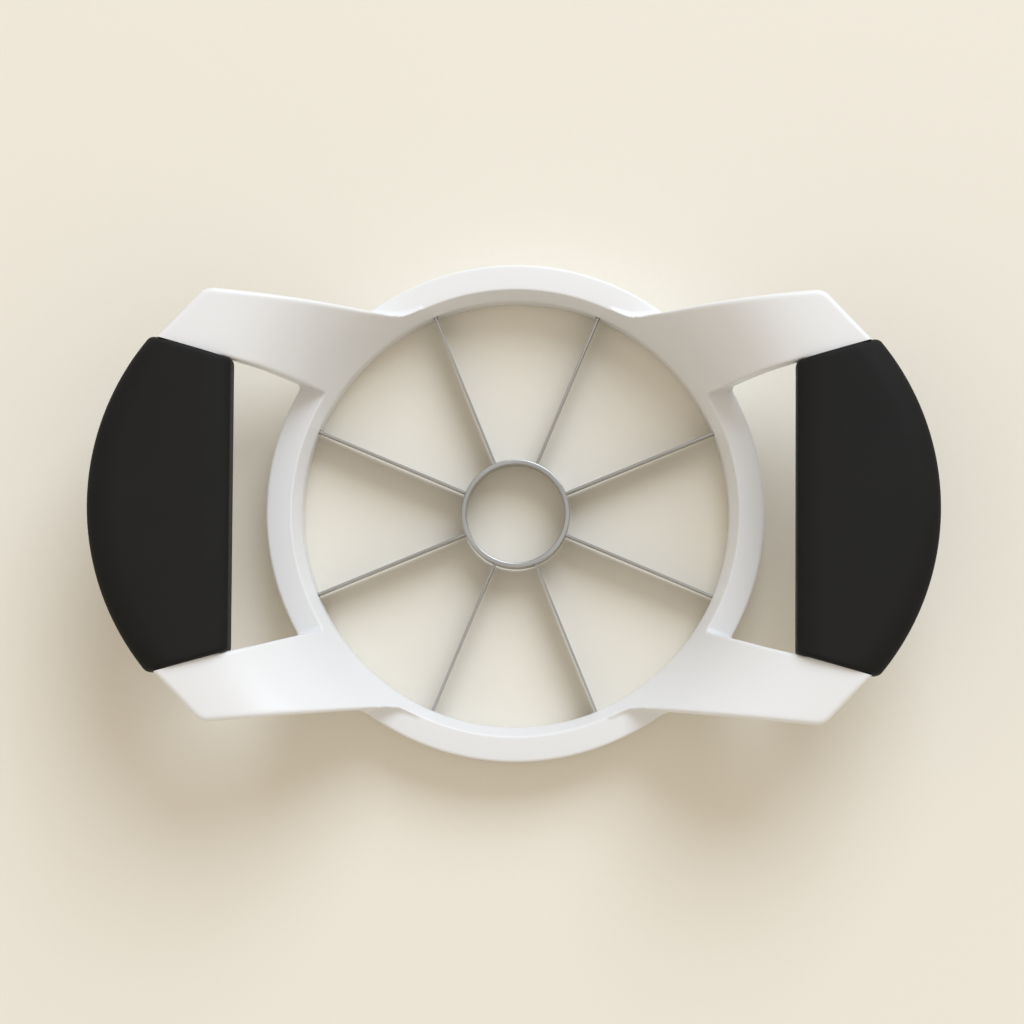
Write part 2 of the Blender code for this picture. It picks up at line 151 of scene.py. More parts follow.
def ovalArc(centre, across, up, start, end, steps):
    points = []
    for index in range(steps + 1):
        angle = start + (end - start) * index / steps
        points.append((centre[0] + across * math.cos(angle), centre[1] + up * math.sin(angle)))
    return points


def arc(centre, radius, start, end, steps):
    return ovalArc(centre, radius, radius, start, end, steps)


def turnedOutline(xLow, xHigh, halfWidth, angle):
    corners = [(xLow, -halfWidth), (xHigh, -halfWidth), (xHigh, halfWidth), (xLow, halfWidth)]
    c, s = math.cos(angle), math.sin(angle)
    return [(x * c - y * s, x * s + y * c) for x, y in corners]


# White moulding: the ring, and four arms that sweep up out of its inner band

moulding = {
    "ringWidth": 0.0079,
    "bandWidth": 0.0021,
    "wallTop": 0.0088,
    "faceFall": 0.0004,
    "faceFallPower": 1.5,
    "faceReach": 1.2,         # share of the ring's width over which its face goes on falling
    "armThickness": 0.0063,
    "levelRadius": 0.0850,
    "flarePower": 2.8,
    "cornerOut": 0.0690,
    "cornerAcross": 0.0486,
    "cornerRound": 0.0040,
    "elbowOut": 0.0570,       # the arms' inside edge bends a little here
    "elbowAcross": 0.0312,
    "tipOut": 0.0797,
    "tipAcross": 0.0374,
    "crotchAngle": math.radians(32.0),
    "neckAngle": math.radians(60.4),
    "neckRound": 0.0140,
    "barDrop": 0.0014,
    "barRise": 0.0006,
    "barRoot": 0.0050,
    "ringRound": 0.0005,
    "wallRound": 0.0003,
    "creaseRound": 0.0003,
    "outerRound": 0.0011,
    "innerRound": 0.0006,
    "innerReach": 0.0360,     # edges nearer to the X axis than this have the inner round
    "roundGrowth": 0.0060,    # the length over which one round grows into the next
    "cornerFill": 0.0013,
    "roundOut": 0.0030,       # beside the sleeve, the inner round runs out over this length
    "roundOutDrop": 0.00035,
    "cell": 0.00045,
    "fineCell": 0.00012,
    "cellGrowth": 0.4,
    "turns": 1000,
    "flareReach": 0.0060,
    "flareSteps": 160,
    "neckSteps": 16,
    "cornerSteps": 12,
    "barSteps": 32,
    "cutterSteps": 64,
    "sharpDegrees": 40.0,
    "slotWidth": 0.0010,
    "slotDepth": 0.0012,
}
retainer = {
    "height": 0.0040,
    "edgeRound": 0.0006,
    "roundSteps": 4,
    "turnSteps": 256,
    "sharpDegrees": 40.0,
}
openingRadius = outerRadius - moulding["ringWidth"]
creaseRadius = openingRadius + moulding["bandWidth"]
crotch = polar(creaseRadius, moulding["crotchAngle"])      # where an arm's inside edge leaves the ring
armDirection = math.atan2(moulding["tipAcross"] - crotch[1], moulding["tipOut"] - crotch[0])
armBottom = armTop - moulding["armThickness"]
partingHeight = retainer["height"] + 2.0 * seatGap


def flareHeight(radius):
    # height of the band and of the arms' top, at a distance from the middle
    share = min(max((radius - openingRadius) / (moulding["levelRadius"] - openingRadius), 0.0), 1.0)
    rise = 1.0 - (1.0 - share) ** moulding["flarePower"]
    return moulding["wallTop"] + (armTop - moulding["wallTop"]) * rise


def roundedCorner(before, corner, after, radius, steps):
    back = (Vector(before) - Vector(corner)).normalized()
    ahead = (Vector(after) - Vector(corner)).normalized()
    half = back.angle(ahead) / 2.0
    centre = Vector(corner) + (back + ahead).normalized() * radius / math.sin(half)
    first = Vector(corner) + back * radius / math.tan(half) - centre
    last = Vector(corner) + ahead * radius / math.tan(half) - centre
    start = math.atan2(first.y, first.x)
    sweep = math.atan2(first.x * last.y - first.y * last.x, first.dot(last))
    return arc(centre, radius, start, start + sweep, steps)


def neckBlend(steps):
    # the arc that leads an arm's outside edge into the crease without a corner
    neck = Vector(polar(creaseRadius, moulding["neckAngle"]))
    along = (Vector((moulding["cornerOut"], moulding["cornerAcross"])) - neck).normalized()
    outward = Vector((-along.y, along.x))
    across = neck.dot(outward) + moulding["neckRound"]
    forward = math.sqrt((creaseRadius + moulding["neckRound"]) ** 2 - across ** 2)
    centre = along * forward + outward * across
    start = math.atan2(-outward.y, -outward.x)
    end = math.atan2(-centre.y, -centre.x)
    sweep = math.atan2(math.sin(end - start), math.cos(end - start))
    return arc(centre, moulding["neckRound"], start, start + sweep, steps)


def armOutline():
    # the arm at +X and +Y, closed inside the ring's opening
    tip = (moulding["tipOut"], moulding["tipAcross"])
    corner = (moulding["cornerOut"], moulding["cornerAcross"])
    blend = neckBlend(moulding["neckSteps"])
    points = [polar(openingRadius - overrun, math.atan2(blend[-1][1], blend[-1][0]))]
    points += reversed(blend)
    points += roundedCorner(blend[0], corner, tip, moulding["cornerRound"], moulding["cornerSteps"])
    # beside the sleeve the outline runs on past the seat, which is cut afterwards
    away = (Vector(tip) - Vector(corner)).normalized() * 2.0 * moulding["outerRound"]
    under = gripLow.x + moulding["roundOut"]
    points += [Vector(tip) + away, (under, 0.0), (under, seatHeight(under) - moulding["roundOutDrop"])]
    points.append((gripLow.x, seatHeight(gripLow.x)))
    elbow = Vector((moulding["elbowOut"], moulding["elbowAcross"]))
    points.append(elbow)
    points.append(Vector(crotch) + (Vector(crotch) - elbow).normalized() * moulding["ringWidth"])
    return points


def seatHeight(x):
    # the straight line along which the arm meets the sleeve
    return crotch[1] + (x - crotch[0]) * math.tan(armDirection)


def seatOutline(side):
    # the room between two arms that the sleeve fills
    inner, outer = gripLow.x - nodeGap, gripHigh.x + overrun
    corners = [(inner, -seatHeight(inner)), (outer, -seatHeight(outer)),
               (outer, seatHeight(outer)), (inner, seatHeight(inner))]
    return [(side * x, y) for x, y in corners]


def barOutline(side, clearance):
    # a handle bar, run into the arms at both ends
    inset = grip["wall"] + nodeGap - clearance
    radius = gripArcRadius - inset
    halfLength = moulding["tipAcross"] + moulding["barRoot"]
    sweep = math.asin(halfLength / radius)
    points = [(gripLow.x + inset, halfLength)]
    points += arc((gripArcCentre, 0.0), radius, sweep, -sweep, moulding["barSteps"])
    points.append((gripLow.x + inset, -halfLength))
    return [(side * x, y) for x, y in points]


# The moulding is the zero surface of a distance field, so that every edge and inside
# corner has a true round. A field is negative inside the solid.

def roundedMeet(first, second, radius):
    # what both fields hold, with the edge between them rounded
    return (np.minimum(np.maximum(first, second), -radius)
            + np.hypot(np.maximum(first + radius, 0.0), np.maximum(second + radius, 0.0)))


def roundedJoin(first, second, radius):
    # what either field holds, with the corner between them filled
    return (np.maximum(np.minimum(first, second), radius)
            - np.hypot(np.maximum(radius - first, 0.0), np.maximum(radius - second, 0.0)))


def outlineDistance(x, y, outline):
    nearest = np.full(np.broadcast(x, y).shape, np.inf)
    inside = np.zeros(nearest.shape, bool)
    for (startX, startY), (endX, endY) in zip(outline, outline[1:] + outline[:1]):
        runX, runY = endX - startX, endY - startY
        share = ((x - startX) * runX + (y - startY) * runY) / (runX ** 2 + runY ** 2)
        share = np.clip(share, 0.0, 1.0)
        nearest = np.minimum(nearest, np.hypot(x - startX - runX * share, y - startY - runY * share))
        if runY != 0.0:
            crosses = (startY > y) != (endY > y)
            inside ^= crosses & (x < startX + (y - startY) * runX / runY)
    return np.where(inside, -nearest, nearest)


class DistanceTable:
    # a distance worked out once over a grid, then read between its points

    def __init__(self, distance, low, high, step):
        self.low, self.step = low, step
        axes = [np.arange(start, stop, step) for start, stop in zip(low, high)]
        self.values = distance(axes[0][:, None], axes[1][None, :])

    def __call__(self, *place):
        cells, shares = [], []
        for value, low, size in zip(np.broadcast_arrays(*place), self.low, self.values.shape):
            lastCell = size - 1.001      # just inside the table
            position = np.clip((value - low) / self.step, 0.0, lastCell)
            cells.append(position.astype(int))
            shares.append(position - cells[-1])
        (column, row), (across, up) = cells, shares
        left = self.values[column, row] * (1.0 - up) + self.values[column, row + 1] * up
        right = self.values[column + 1, row] * (1.0 - up) + self.values[column + 1, row + 1] * up
        return left * (1.0 - across) + right * across


def flareOutline():
    # the arms' top curve by radius and height, closed far below; inside the opening it
    # runs on down at its first slope
    reach = moulding["flareReach"]
    run = moulding["levelRadius"] - openingRadius
    firstSlope = moulding["flarePower"] * (armTop - moulding["wallTop"]) / run
    points = [(openingRadius - reach, moulding["wallTop"] - reach * firstSlope)]
    for radius in np.linspace(openingRadius, moulding["levelRadius"], moulding["flareSteps"]):
        points.append((radius, flareHeight(radius)))
    points.append((2.0 * gripHigh.x, armTop))
    points.append((2.0 * gripHigh.x, -armTop))
    points.append((openingRadius - reach, -armTop))
    return points


def mouldingField(x, y, z):
    x, y = np.abs(x), np.abs(y)
    r = np.hypot(x, y)
    aboveFlare = flareTable(r, z)
    share = np.clip((r - creaseRadius) / (outerRadius - creaseRadius), 0.0, moulding["faceReach"])
    face = flareHeight(creaseRadius) - moulding["faceFall"] * share ** moulding["faceFallPower"]
    ring = roundedMeet(z - face, r - outerRadius, moulding["ringRound"])
    arm = armTable(x, y)
    plan = roundedJoin(ring, arm, moulding["cornerFill"])
    top = roundedMeet(aboveFlare, openingRadius - r, moulding["wallRound"])
    belowArm = -aboveFlare - moulding["armThickness"]
    underside = roundedJoin(r - outerRadius, belowArm, moulding["cornerFill"])
    growth = moulding["roundGrowth"]
    sideways = np.clip((y - moulding["innerReach"]) / growth, 0.0, 1.0)
    edge = moulding["innerRound"] + (moulding["outerRound"] - moulding["innerRound"]) * sideways
    outward = np.clip((r - creaseRadius) / growth, 0.0, 1.0)
    edge = moulding["creaseRound"] + (edge - moulding["creaseRound"]) * outward
    body = roundedMeet(plan, np.maximum(top, underside), edge)
    return np.maximum(body, partingHeight - overrun - z)


def gradedSteps(low, high, edges):
    # positions from low to high, close together near each edge
    places = [low]
    while places[-1] < high:
        nearest = min(abs(places[-1] - edge) for edge in edges)
        step = max(nearest * moulding["cellGrowth"], moulding["fineCell"])
        places.append(places[-1] + min(step, moulding["cell"]))
    return np.array(places)


def fieldMesh(name, field, radii, turns, heights):
    # the surface is sought on a grid that runs round the Z axis, so that the ring's edges
    # lie along it: one point in each cell that the surface crosses, and one face round
    # each grid line that it crosses
    turnStep = 2.0 * math.pi / turns
    r, turn, z = radii[:, None, None], np.arange(turns)[None, :, None] * turnStep, heights[None, None, :]
    values = field(r * np.cos(turn), r * np.sin(turn), z)
    values = np.concatenate([values, values[:, :1]], axis=1)
    inside = values < 0.0
    cells = tuple(size - 1 for size in values.shape)
    corners = [np.array((i, j, k)) for i in (0, 1) for j in (0, 1) for k in (0, 1)]
    filled = np.zeros(cells, np.int8)
    for i, j, k in corners:
        filled += inside[i:i + cells[0], j:j + cells[1], k:k + cells[2]]
    active = np.argwhere((filled > 0) & (filled < len(corners)))
    number = np.zeros(cells, np.int64)
    number[tuple(active.T)] = np.arange(len(active))
    total, count = np.zeros((len(active), 3)), np.zeros(len(active))
    for start in corners:
        for step in np.eye(3, dtype=int)[start == 0]:
            valueA = values[tuple((active + start).T)]
            valueB = values[tuple((active + start + step).T)]
            crossed = (valueA < 0.0) != (valueB < 0.0)
            share = np.where(crossed, valueA / np.where(crossed, valueA - valueB, 1.0), 0.0)
            total += np.where(crossed[:, None], start + share[:, None] * step, 0.0)
            count += crossed
    across, along, up = (active + total / count[:, None]).T
    across = np.interp(across, np.arange(len(radii)), radii)
    up = np.interp(up, np.arange(len(heights)), heights)
    turned = along * turnStep
    points = np.stack([across * np.cos(turned), across * np.sin(turned), up], axis=1)
    quads = []
    for axis, first, second in ((0, 1, 2), (1, 2, 0), (2, 0, 1)):
        step = np.eye(3, dtype=int)[axis]
        last = [size - 1 if place == axis else size for place, size in enumerate(values.shape)]
        last[1] = turns
        here = inside[:last[0], :last[1], :last[2]]
        ahead = inside[step[0]:step[0] + last[0], step[1]:step[1] + last[1], step[2]:step[2] + last[2]]
        starts = np.argwhere(here != ahead)
        around = []
        for stepFirst, stepSecond in ((1, 1), (0, 1), (0, 0), (1, 0)):
            cell = starts.copy()
            cell[:, first] -= stepFirst
            cell[:, second] -= stepSecond
            around.append(number[tuple(cell.T)])
        around = np.stack(around, axis=1)
        inward = ~inside[tuple(starts.T)]
        around[inward] = around[inward][:, ::-1]
        quads.append(around)
    quads = np.concatenate(quads)
    points = settled(field, points, quads, moulding["fineCell"])
    mesh = bpy.data.meshes.new(name)
    mesh.from_pydata(points.tolist(), [], quads.tolist())
    item = bpy.data.objects.new(name, mesh)
    bpy.context.scene.collection.objects.link(item)
    return item


def settled(field, points, quads, step):
    # evens the points out, and brings each back to the surface along the field's slope
    edges = np.concatenate([quads[:, [0, 1]], quads[:, [1, 2]], quads[:, [2, 3]], quads[:, [3, 0]]])
    neighbours = np.bincount(edges[:, 0], minlength=len(points))
    probe = step / 4.0
    leastSlope = 0.25
    for evening in (0.5, 0.5, 0.5, 0.0):
        average = np.stack([np.bincount(edges[:, 0], points[edges[:, 1], axis], len(points))
                            for axis in range(3)], axis=1) / neighbours[:, None]
        points = points + evening * (average - points)
        for again in range(2):
            value = field(*points.T)
            slope = np.stack([
                field(*(points + offset).T) - field(*(points - offset).T)
                for offset in probe * np.eye(3)
            ], axis=1) / (2.0 * probe)
            reach = value / np.maximum((slope ** 2).sum(axis=1), leastSlope)
            points = points - np.clip(reach, -step, step)[:, None] * slope
    return points


tableStep = moulding["cell"] / 2.0
tableOver = 4.0 * overrun
flareTable = DistanceTable(
    lambda r, z: outlineDistance(r, z, flareOutline()),
    (openingRadius - moulding["flareReach"], 0.0),
    (gripHigh.x + tableOver, armTop + tableOver),
    tableStep,
)
armTable = DistanceTable(
    lambda x, y: outlineDistance(x, y, armOutline()),
    (0.0, 0.0),
    (gripHigh.x + overrun, outerRadius + tableOver),
    tableStep,
)


def makeMoulding():
    reach = 3.0 * overrun
    edges = (openingRadius, creaseRadius, outerRadius)
    radii = gradedSteps(openingRadius - overrun, gripHigh.x - reach, edges)
    heights = np.arange(partingHeight - reach, armTop + reach, moulding["cell"])
    body = fieldMesh("frame_white", mouldingField, radii, moulding["turns"], heights)
    # the parting face, the sleeves' seats and the blades' slots are cut, so they stay crisp
    under = partingHeight - 2.0 * reach
    below = turnedSolid(
        "belowParting",
        [(openingRadius - reach, partingHeight), (outerRadius + reach, partingHeight),
         (outerRadius + reach, under), (openingRadius - reach, under)],
        moulding["cutterSteps"],
    )
    body = combine(body, below, 'DIFFERENCE')
    seats = raisedOutlines("sleeveSeats", [seatOutline(1), seatOutline(-1)], 0.0, armTop + reach)
    body = combine(body, seats, 'DIFFERENCE')
    bars = raisedOutlines(
        "handleBars", [barOutline(1, 0.0), barOutline(-1, 0.0)],
        armBottom + moulding["barRise"], armTop - moulding["barDrop"],
    )
    body = combine(body, bars, 'UNION')
    slots = raisedOutlines(
        "bladeSlots",
        [turnedOutline(openingRadius - reach, openingRadius + moulding["slotDepth"],
                       moulding["slotWidth"] / 2.0, angle) for angle in bladeAngles],
        partingHeight - overrun,
        bladeHigh.z + seatGap,
    )
    body = combine(body, slots, 'DIFFERENCE')
    smoothShade(body, moulding["sharpDegrees"])
    return body


# Soft black sleeves over the handle bars

grip = {
    "tipProud": 0.0019,
    "wall": 0.0020,
    "crown": 0.0007,
    "insideRound": 0.0026,
    "outsideRound": 0.0046,
    "insideSpan": 0.0060,       # the top's long rounds, across and down
    "insideDrop": 0.0022,
    "outsideSpan": 0.0070,
    "outsideDrop": 0.0032,
    "endRound": 0.0010,
    "sideShare": 0.35,          # how much of the end round the inside face has
    "endSteps": 5,
    "stations": 72,
    "cornerSteps": 10,
    "topSteps": 8,
    "sharpDegrees": 50.0,
}
gripBulge = gripHigh.x - moulding["tipOut"] - grip["tipProud"]
gripArcRadius = (gripBulge ** 2 + moulding["tipAcross"] ** 2) / (2.0 * gripBulge)
gripArcCentre = gripHigh.x - gripArcRadius


def gripSection(width, inset):
    # distance from the sleeve's inside face, and height
    low, high = gripLow.z + inset, gripHigh.z - inset
    left, right = inset * grip["sideShare"], width - inset
    inside, outside = grip["insideRound"], grip["outsideRound"]
    insideSpan, insideDrop = grip["insideSpan"], grip["insideDrop"]
    outsideSpan, outsideDrop = grip["outsideSpan"], grip["outsideDrop"]
    steps = grip["cornerSteps"]
    quarter = math.pi / 2.0
    points = arc((left + inside, low + inside), inside, math.pi, 3.0 * quarter, steps)
    points += arc((right - outside, low + outside), outside, -quarter, 0.0, steps)
    topLeft, topRight, topSteps = left + insideSpan, right - outsideSpan, grip["topSteps"]
    points += ovalArc((topRight, high - outsideDrop), outsideSpan, outsideDrop, 0.0, quarter, 2 * steps)
    for index in range(1, topSteps):
        points.append((topRight + (topLeft - topRight) * index / topSteps, high))
    points += ovalArc((topLeft, high - insideDrop), insideSpan, insideDrop, quarter, math.pi, 2 * steps)
    crowned = []
    for across, height in points:
        share = (across - left) / (right - left)
        lift = (height - low) / (high - low)
        crowned.append((across, height - grip["crown"] * lift * (2.0 * share - 1.0) ** 2))
    return crowned


def gripArcCrossing(start, direction):
    # where a line along the arm's inside edge meets the sleeve's outer arc
    run = Vector((math.cos(direction), math.sin(direction)))
    offset = Vector(start) - Vector((gripArcCentre, 0.0))
    along = offset.dot(run)
    reach = -along + math.sqrt(along * along - offset.length_squared + gripArcRadius ** 2)
    return Vector(start) + run * reach


def makeGrip(name, side):
    start = (crotch[0], crotch[1] - seatGap / math.cos(armDirection))
    innerEnd = start[1] + (gripLow.x - start[0]) * math.tan(armDirection)
    outerEnd = gripArcCrossing(start, armDirection)
    sweep = math.atan2(outerEnd.y, outerEnd.x - gripArcCentre)
    # stations along the sleeve, as a share of its half length and an inset, close together
    # where they round the end lips
    lip = grip["endRound"] / innerEnd
    turns = [math.pi / 2.0 * index / grip["endSteps"] for index in range(grip["endSteps"] + 1)]
    ends = [(1.0 - lip * (1.0 - math.cos(turn)), grip["endRound"] * (1.0 - math.sin(turn)))
            for turn in turns]
    middles = [2.0 * index / grip["stations"] - 1.0 for index in range(1, grip["stations"])]
    stations = [(-share, inset) for share, inset in ends]
    stations += [((1.0 - lip) * share, 0.0) for share in middles]
    stations += [(share, inset) for share, inset in reversed(ends)]
    shape = bmesh.new()
    rings = []
    for share, inset in stations:
        inner = Vector((gripLow.x, innerEnd * share))
        outer = Vector((gripArcCentre, 0.0)) + Vector(polar(gripArcRadius, sweep * share))
        width = (outer - inner).length
        across = (outer - inner) / width
        ring = []
        for distance, height in gripSection(width, inset):
            point = inner + across * distance
            ring.append(shape.verts.new((side * point.x, point.y, height)))
        rings.append(ring)
    for first, second in zip(rings, rings[1:]):
        for index in range(len(first)):
            following = (index + 1) % len(first)
            shape.faces.new((first[index], first[following], second[following], second[index]))
    shape.faces.new(rings[0])
    shape.faces.new(rings[-1])
    sleeve = objectFromShape(name, shape)
    bore = raisedOutlines(
        name + "Bore",
        [barOutline(side, seatGap)],
        armBottom + moulding["barRise"] - seatGap,
        armTop - moulding["barDrop"] + seatGap,
    )
    sleeve = combine(sleeve, bore, 'DIFFERENCE')
    smoothShade(sleeve, grip["sharpDegrees"])
    return sleeve


# White ring below, which closes the blades' slots

def makeRetainer():
    edge = retainer["edgeRound"]
    profile = [(openingRadius, retainer["height"]), (outerRadius, retainer["height"])]
    profile += arc((outerRadius - edge, edge), edge, 0.0, -math.pi / 2.0, retainer["roundSteps"])
    profile += arc((openingRadius + edge, edge), edge, -math.pi / 2.0, -math.pi, retainer["roundSteps"])
    ring = turnedSolid("retaining_ring_white", profile, retainer["turnSteps"])
    smoothShade(ring, retainer["sharpDegrees"])
    return ring


# Steel: eight upright blades and the core cutter

blade = {
    "thickness": 0.0005,
    "topRound": 0.00010,
    "grindHeight": 0.0014,
    "edgeShare": 0.12,
    "intoCore": 0.0006,
    "intoWall": 0.0010,
    "sharpDegrees": 20.0,
}
core = {
    "wall": 0.00115,
    "rimRound": 0.00022,
    "grindHeight": 0.0016,
    "edge": 0.00012,
    "turnSteps": 160,
    "rimSteps": 4,
    "sharpDegrees": 40.0,
}


def makeBlade(name, angle):
    half = blade["thickness"] / 2.0
    low, high = bladeLow.z, bladeHigh.z
    sharp = half * blade["edgeShare"]
    section = [
        (-sharp, low), (sharp, low),
        (half, low + blade["grindHeight"]),
        (half, high - blade["topRound"]),
        (half - blade["topRound"], high),
        (blade["topRound"] - half, high),
        (-half, high - blade["topRound"]),
        (-half, low + blade["grindHeight"]),
    ]
    start = coreHigh.x - blade["intoCore"]
    length = openingRadius + blade["intoWall"] - start
    shape = bmesh.new()
    face = shape.faces.new([shape.verts.new((start, y, z)) for y, z in section])
    grown = bmesh.ops.extrude_face_region(shape, geom=[face])
    far = [item for item in grown["geom"] if isinstance(item, bmesh.types.BMVert)]
    bmesh.ops.translate(shape, verts=far, vec=(length, 0.0, 0.0))
    strip = objectFromShape(name, shape)
    strip.rotation_euler.z = angle
    smoothShade(strip, blade["sharpDegrees"])
    return strip


def makeCore():
    radius = coreHigh.x
    inside = radius - core["wall"]
    rim = core["rimRound"]
    profile = [(inside, coreLow.z + core["grindHeight"])]
    profile += arc((inside + rim, coreHigh.z - rim), rim, math.pi, math.pi / 2.0, core["rimSteps"])
    profile += arc((radius - rim, coreHigh.z - rim), rim, math.pi / 2.0, 0.0, core["rimSteps"])
    profile += [(radius, coreLow.z), (radius - core["edge"], coreLow.z)]
    tube = turnedSolid("core_cutter", profile, core["turnSteps"])
    smoothShade(tube, core["sharpDegrees"])
    return tube


# Shader groups

def newGroup(name, inputs, outputs):
    group = bpy.data.node_groups.new(name, 'ShaderNodeTree')
    for label, kind, value in inputs:
        socket = group.interface.new_socket(name=label, in_out='INPUT', socket_type=kind)
        socket.default_value = value
    for label, kind in outputs:
        group.interface.new_socket(name=label, in_out='OUTPUT', socket_type=kind)
    return group, group.nodes.new('NodeGroupInput'), group.nodes.new('NodeGroupOutput')


def addNoise(nodes, detail):
    noise = nodes.new('ShaderNodeTexNoise')
    noise.inputs["Detail"].default_value = detail
    return noise


def addBlend(nodes, links, noiseFactor, first, second):
    # a mix of two colours, which are outputs of other nodes
    blend = nodes.new('ShaderNodeMix')
    blend.data_type = 'RGBA'
    links.new(noiseFactor, blend.inputs["Factor"])
    links.new(first, blend.inputs["A"])
    links.new(second, blend.inputs["B"])
    return blend.outputs["Result"]


def spreadRoughness(group, noise, given, result):
    # one noise moves the roughness about its middle value, and gives the height
    nodes, links = group.nodes, group.links
    centred = nodes.new('ShaderNodeMath')
    centred.operation = 'SUBTRACT'
    centred.inputs[1].default_value = 0.5
    links.new(noise.outputs["Fac"], centred.inputs[0])
    rough = nodes.new('ShaderNodeMath')
    rough.operation = 'MULTIPLY_ADD'
    links.new(centred.outputs[0], rough.inputs[0])
    links.new(given.outputs["Roughness Spread"], rough.inputs[1])
    links.new(given.outputs["Roughness"], rough.inputs[2])
    links.new(rough.outputs[0], result.inputs["Roughness"])
    links.new(noise.outputs["Fac"], result.inputs["Height"])


noiseDetail = {"drift": 3.0, "grain": 2.0, "lines": 4.0, "fibre": 3.0}
finishOutputs = [
    ("Colour", 'NodeSocketColor'),
    ("Roughness", 'NodeSocketFloat'),
    ("Height", 'NodeSocketFloat'),
]


def makeMouldedFinish():
    # slow drift of colour, with a fine satin texture
    group, given, result = newGroup(
        "mouldedFinish",
        [("Colour", 'NodeSocketColor', (0.8, 0.8, 0.8, 1.0)),
         ("Shaded Colour", 'NodeSocketColor', (0.7, 0.7, 0.7, 1.0)),
         ("Drift", 'NodeSocketFloat', 0.5),
         ("Drift Scale", 'NodeSocketFloat', 40.0),
         ("Roughness", 'NodeSocketFloat', 0.3),
         ("Roughness Spread", 'NodeSocketFloat', 0.06),
         ("Grain Scale", 'NodeSocketFloat', 1500.0)],
        finishOutputs,
    )
    nodes, links = group.nodes, group.links
    place = nodes.new('ShaderNodeTexCoord')
    drift = addNoise(nodes, noiseDetail["drift"])
    links.new(place.outputs["Object"], drift.inputs["Vector"])
    links.new(given.outputs["Drift Scale"], drift.inputs["Scale"])
    amount = nodes.new('ShaderNodeMath')
    amount.operation = 'MULTIPLY'
    links.new(drift.outputs["Fac"], amount.inputs[0])
    links.new(given.outputs["Drift"], amount.inputs[1])
    colour = addBlend(
        nodes, links, amount.outputs[0], given.outputs["Colour"], given.outputs["Shaded Colour"],
    )
    links.new(colour, result.inputs["Colour"])
    grain = addNoise(nodes, noiseDetail["grain"])
    links.new(place.outputs["Object"], grain.inputs["Vector"])
    links.new(given.outputs["Grain Scale"], grain.inputs["Scale"])
    spreadRoughness(group, grain, given, result)
    return group


def makeBrushedLines():
    # fine lines along one direction, given by how far each axis is stretched
    group, given, result = newGroup(
        "brushedLines",
        [("Light Colour", 'NodeSocketColor', (0.6, 0.6, 0.6, 1.0)),
         ("Dark Colour", 'NodeSocketColor', (0.4, 0.4, 0.4, 1.0)),
         ("Stretch", 'NodeSocketVector', (60.0, 4000.0, 4000.0)),
         ("Roughness", 'NodeSocketFloat', 0.3),
         ("Roughness Spread", 'NodeSocketFloat', 0.2)],
        finishOutputs,
    )
    nodes, links = group.nodes, group.links
    place = nodes.new('ShaderNodeTexCoord')
    stretched = nodes.new('ShaderNodeVectorMath')
    stretched.operation = 'MULTIPLY'
    links.new(place.outputs["Object"], stretched.inputs[0])
    links.new(given.outputs["Stretch"], stretched.inputs[1])
    lines = addNoise(nodes, noiseDetail["lines"])
    lines.inputs["Scale"].default_value = 1.0      # the stretch alone sets the lines' size
    links.new(stretched.outputs[0], lines.inputs["Vector"])
    colour = addBlend(
        nodes, links, lines.outputs["Fac"], given.outputs["Dark Colour"], given.outputs["Light Colour"],
    )
    links.new(colour, result.inputs["Colour"])
    spreadRoughness(group, lines, given, result)
    return group


mouldedFinish = makeMouldedFinish()
brushedLines = makeBrushedLines()


def finishMaterial(name, group, values):
    material = bpy.data.materials.new(name)
    material.use_nodes = True
    nodes, links = material.node_tree.nodes, material.node_tree.links
    shader = nodes["Principled BSDF"]
    shader.inputs["Metallic"].default_value = values["metallic"]
    shader.inputs["Specular IOR Level"].default_value = values["specular"]
    finish = nodes.new('ShaderNodeGroup')
    finish.node_tree = group
    for label, value in values["finish"].items():
        finish.inputs[label].default_value = value
    bump = nodes.new('ShaderNodeBump')
    bump.inputs["Strength"].default_value = values["bumpStrength"]
    bump.inputs["Distance"].default_value = values["bumpDistance"]
    links.new(finish.outputs["Colour"], shader.inputs["Base Color"])
    links.new(finish.outputs["Roughness"], shader.inputs["Roughness"])
    links.new(finish.outputs["Height"], bump.inputs["Height"])
    links.new(bump.outputs["Normal"], shader.inputs["Normal"])
    return material


whitePlastic = {
    "metallic": 0.0,
    "specular": 0.38,
    "bumpStrength": 0.04,
    "bumpDistance": 0.0002,
    "finish": {
        "Colour": (0.815, 0.825, 0.825, 1.0),
        "Shaded Colour": (0.785, 0.792, 0.782, 1.0),
        "Drift": 0.6,
        "Drift Scale": 35.0,
        "Roughness": 0.32,
        "Roughness Spread": 0.06,
        "Grain Scale": 1800.0,
    },
}
softBlack = {
    "metallic": 0.0,
    "specular": 0.23,
    "bumpStrength": 0.15,
    "bumpDistance": 0.0002,
    "finish": {
        "Colour": (0.0082, 0.0073, 0.0060, 1.0),
        "Shaded Colour": (0.0115, 0.0103, 0.0088, 1.0),
        "Drift": 0.8,
        "Drift Scale": 60.0,
        "Roughness": 0.66,
        "Roughness Spread": 0.12,
        "Grain Scale": 2600.0,
    },
}
bladeSteel = {
    "metallic": 1.0,
    "specular": 0.5,
    "bumpStrength": 0.08,
    "bumpDistance": 0.0001,
    "finish": {
        "Light Colour": (0.63, 0.610, 0.580, 1.0),
        "Dark Colour": (0.41, 0.392, 0.370, 1.0),
        "Stretch": (60.0, 5000.0, 5000.0),
        "Roughness": 0.34,
        "Roughness Spread": 0.2,
    },
}
